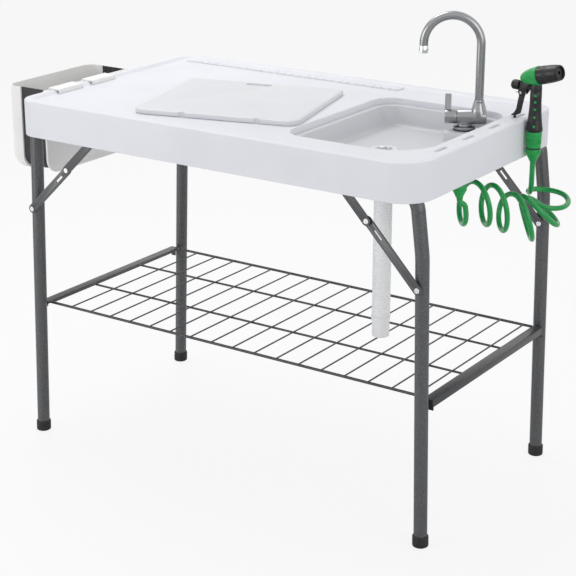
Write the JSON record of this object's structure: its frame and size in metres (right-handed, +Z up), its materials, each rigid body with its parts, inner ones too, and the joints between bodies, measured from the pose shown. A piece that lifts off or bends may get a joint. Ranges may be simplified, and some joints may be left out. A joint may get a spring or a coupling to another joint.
{
  "type": "fish cleaning table",
  "caption": "Folding fish cleaning table with sink, tap, drain hose, spray gun on a curly hose, cutting board, wire shelf and a hanging bin.",
  "frame": {"origin": "on the floor under the middle of the table, bin and spray gun, hoses left out", "axes": "+X along the table towards the sink, +Y to the ruler side, +Z up"},
  "size_m": [1.3936, 0.698, 1.1536],
  "materials": {
    "white_plastic": "moulded, fine grain",
    "board_plastic": "smooth cutting plastic",
    "hammered_steel": "grey hammered paint",
    "dark_steel": "dark grey coating",
    "zinc_steel": "zinc plated",
    "brushed_steel": "brushed nickel",
    "chrome": "polished",
    "black_rubber": "matt",
    "black_plastic": "satin",
    "green_plastic": "glossy",
    "green_hose": "glossy, curled",
    "grey_hose": "ribbed, pale",
    "beige_plastic": "moulded, fine grain"
  },
  "bodies": {
    "table": {"table_top": "white_plastic", "sink_basin": "white_plastic", "pivot_block_left_front": "black_plastic", "pivot_block_left_rear": "black_plastic", "pivot_block_right_front": "black_plastic", "pivot_block_right_rear": "black_plastic", "brace_anchor_left_front": "zinc_steel", "brace_anchor_left_rear": "zinc_steel", "brace_anchor_right_front": "zinc_steel", "brace_anchor_right_rear": "zinc_steel", "faucet_gasket": "black_rubber", "faucet_body": "brushed_steel", "faucet_nut": "black_plastic", "drain_body": "white_plastic", "drain_locknut": "black_plastic", "drain_hose": "grey_hose", "drain_hose_cuff": "grey_hose", "hose_spigot": "black_plastic", "hose_connector": "green_plastic", "curly_hose": "green_hose"},
    "legs_left": {"leg_frame_left": "hammered_steel", "foot_cap_left_front": "black_rubber", "foot_cap_left_rear": "black_rubber"},
    "legs_right": {"leg_frame_right": "hammered_steel", "foot_cap_right_front": "black_rubber", "foot_cap_right_rear": "black_rubber"},
    "link_upper_left_front": {"brace_upper_left_front": "zinc_steel"},
    "link_lower_left_front": {"brace_lower_left_front": "zinc_steel"},
    "link_upper_left_rear": {"brace_upper_left_rear": "zinc_steel"},
    "link_lower_left_rear": {"brace_lower_left_rear": "zinc_steel"},
    "link_upper_right_front": {"brace_upper_right_front": "zinc_steel"},
    "link_lower_right_front": {"brace_lower_right_front": "zinc_steel"},
    "link_upper_right_rear": {"brace_upper_right_rear": "zinc_steel"},
    "link_lower_right_rear": {"brace_lower_right_rear": "zinc_steel"},
    "shelf": {"shelf_grid": "dark_steel", "shelf_end_bar_left": "dark_steel", "shelf_end_bar_right": "dark_steel", "shelf_hook_left_front": "dark_steel", "shelf_hook_left_rear": "dark_steel", "shelf_hook_right_front": "dark_steel", "shelf_hook_right_rear": "dark_steel"},
    "board": {"cutting_board": "board_plastic"},
    "spout": {"faucet_spout": "brushed_steel", "faucet_aerator": "chrome"},
    "lever": {"faucet_lever": "brushed_steel"},
    "basket": {"drain_basket": "chrome"},
    "gun": {"gun_connector": "green_plastic", "gun_seal_ring": "black_rubber", "gun_collar": "green_plastic", "gun_handle": "black_plastic", "gun_body": "green_plastic", "gun_trigger_pin": "chrome"},
    "nozzle": {"gun_nozzle": "black_plastic"},
    "knob": {"gun_knob": "black_plastic"},
    "trigger": {"gun_trigger": "black_plastic"},
    "clip": {"gun_lock_clip": "black_plastic"},
    "bin": {"bin_back": "beige_plastic", "bin_fold_band": "black_rubber"},
    "bin_front": {"bin_shell": "beige_plastic"}
  },
  "joints": [
    {"name": "left_fold", "type": "hinge", "parent": "table", "child": "legs_left", "pos_m": [-0.52797, 0, 0.868], "axis": [0, -1, 0], "range_deg": [0, 92.07]},
    {"name": "right_fold", "type": "hinge", "parent": "table", "child": "legs_right", "pos_m": [0.53473, 0, 0.868], "axis": [0, 1, 0], "range_deg": [0, 91.35]},
    {"name": "upper_link_left_front", "type": "hinge", "parent": "table", "child": "link_upper_left_front", "pos_m": [-0.28587, -0.3275, 0.868], "axis": [0, -1, 0], "range_deg": [-44.3, 0]},
    {"name": "lower_link_left_front", "type": "hinge", "parent": "legs_left", "child": "link_lower_left_front", "pos_m": [-0.53669, -0.322, 0.62606], "axis": [0, -1, 0], "range_deg": [0, 44.3]},
    {"name": "upper_link_left_rear", "type": "hinge", "parent": "table", "child": "link_upper_left_rear", "pos_m": [-0.28587, 0.2725, 0.868], "axis": [0, -1, 0], "range_deg": [-44.3, 0]},
    {"name": "lower_link_left_rear", "type": "hinge", "parent": "legs_left", "child": "link_lower_left_rear", "pos_m": [-0.53669, 0.278, 0.62606], "axis": [0, -1, 0], "range_deg": [0, 44.3]},
    {"name": "upper_link_right_front", "type": "hinge", "parent": "table", "child": "link_upper_right_front", "pos_m": [0.36473, -0.3275, 0.868], "axis": [0, 1, 0], "range_deg": [-14, 0]},
    {"name": "lower_link_right_front", "type": "hinge", "parent": "legs_right", "child": "link_lower_right_front", "pos_m": [0.59035, -0.322, 0.629], "axis": [0, 1, 0], "range_deg": [0, 50.3]},
    {"name": "upper_link_right_rear", "type": "hinge", "parent": "table", "child": "link_upper_right_rear", "pos_m": [0.36473, 0.2725, 0.868], "axis": [0, 1, 0], "range_deg": [-14, 0]},
    {"name": "lower_link_right_rear", "type": "hinge", "parent": "legs_right", "child": "link_lower_right_rear", "pos_m": [0.59035, 0.278, 0.629], "axis": [0, 1, 0], "range_deg": [0, 50.3]},
    {"name": "shelf_lift", "type": "slide", "parent": "table", "child": "shelf", "axis": [0, 0, 1], "range_m": [0, 0.04], "deforming": ["drain_hose", "drain_hose_cuff"]},
    {"name": "board_lift", "type": "slide", "parent": "table", "child": "board", "axis": [0, 0, 1], "range_m": [0, 0.05]},
    {"name": "spout_swivel", "type": "hinge", "parent": "table", "child": "spout", "pos_m": [0.46273, 0.18, 0.9373], "axis": [0, 0, 1], "range_deg": [-60, 60]},
    {"name": "tap_lever", "type": "hinge", "parent": "table", "child": "lever", "pos_m": [0.46273, 0.18, 0.9], "axis": [-0.8944, -0.4473, 0], "range_deg": [-45, 45]},
    {"name": "basket_lift", "type": "slide", "parent": "table", "child": "basket", "axis": [0, 0, 1], "range_m": [0, 0.04]},
    {"name": "gun_lift", "type": "slide", "parent": "table", "child": "gun", "axis": [0, 0, 1], "range_m": [0, 0.12]},
    {"name": "nozzle_twist", "type": "hinge", "parent": "gun", "child": "nozzle", "pos_m": [0.6256, 0.16694, 1.023], "axis": [0.9513, -0.1677, 0.2588], "range_deg": [-45, 45]},
    {"name": "knob_twist", "type": "hinge", "parent": "gun", "child": "knob", "pos_m": [0.56158, 0.17822, 0.992], "axis": [0.9848, -0.1736, 0], "range_deg": [-45, 45]},
    {"name": "trigger_squeeze", "type": "hinge", "parent": "gun", "child": "trigger", "pos_m": [0.57931, 0.1751, 0.976], "axis": [-0.1736, -0.9848, 0], "range_deg": [0, 5], "stiffness_Nm_per_rad": 0.4},
    {"name": "clip_flip", "type": "hinge", "parent": "gun", "child": "clip", "pos_m": [0.57931, 0.1751, 0.976], "axis": [-0.1736, -0.9848, 0], "range_deg": [0, 25]},
    {"name": "bin_lift", "type": "slide", "parent": "table", "child": "bin", "axis": [0, 0, 1], "range_m": [0, 0.06]},
    {"name": "bin_fold", "type": "slide", "parent": "bin", "child": "bin_front", "axis": [1, 0, 0], "range_m": [0, 0.009]}
  ],
  "couplings": [
    {"joint": "upper_link_left_front", "follows": "left_fold", "ratio": -0.4776},
    {"joint": "lower_link_left_front", "follows": "left_fold", "ratio": 0.4775},
    {"joint": "upper_link_left_rear", "follows": "left_fold", "ratio": -0.4776},
    {"joint": "lower_link_left_rear", "follows": "left_fold", "ratio": 0.4775},
    {"joint": "upper_link_right_front", "follows": "right_fold", "ratio": -0.149},
    {"joint": "lower_link_right_front", "follows": "right_fold", "ratio": 0.5467},
    {"joint": "upper_link_right_rear", "follows": "right_fold", "ratio": -0.149},
    {"joint": "lower_link_right_rear", "follows": "right_fold", "ratio": 0.5467}
  ]
}
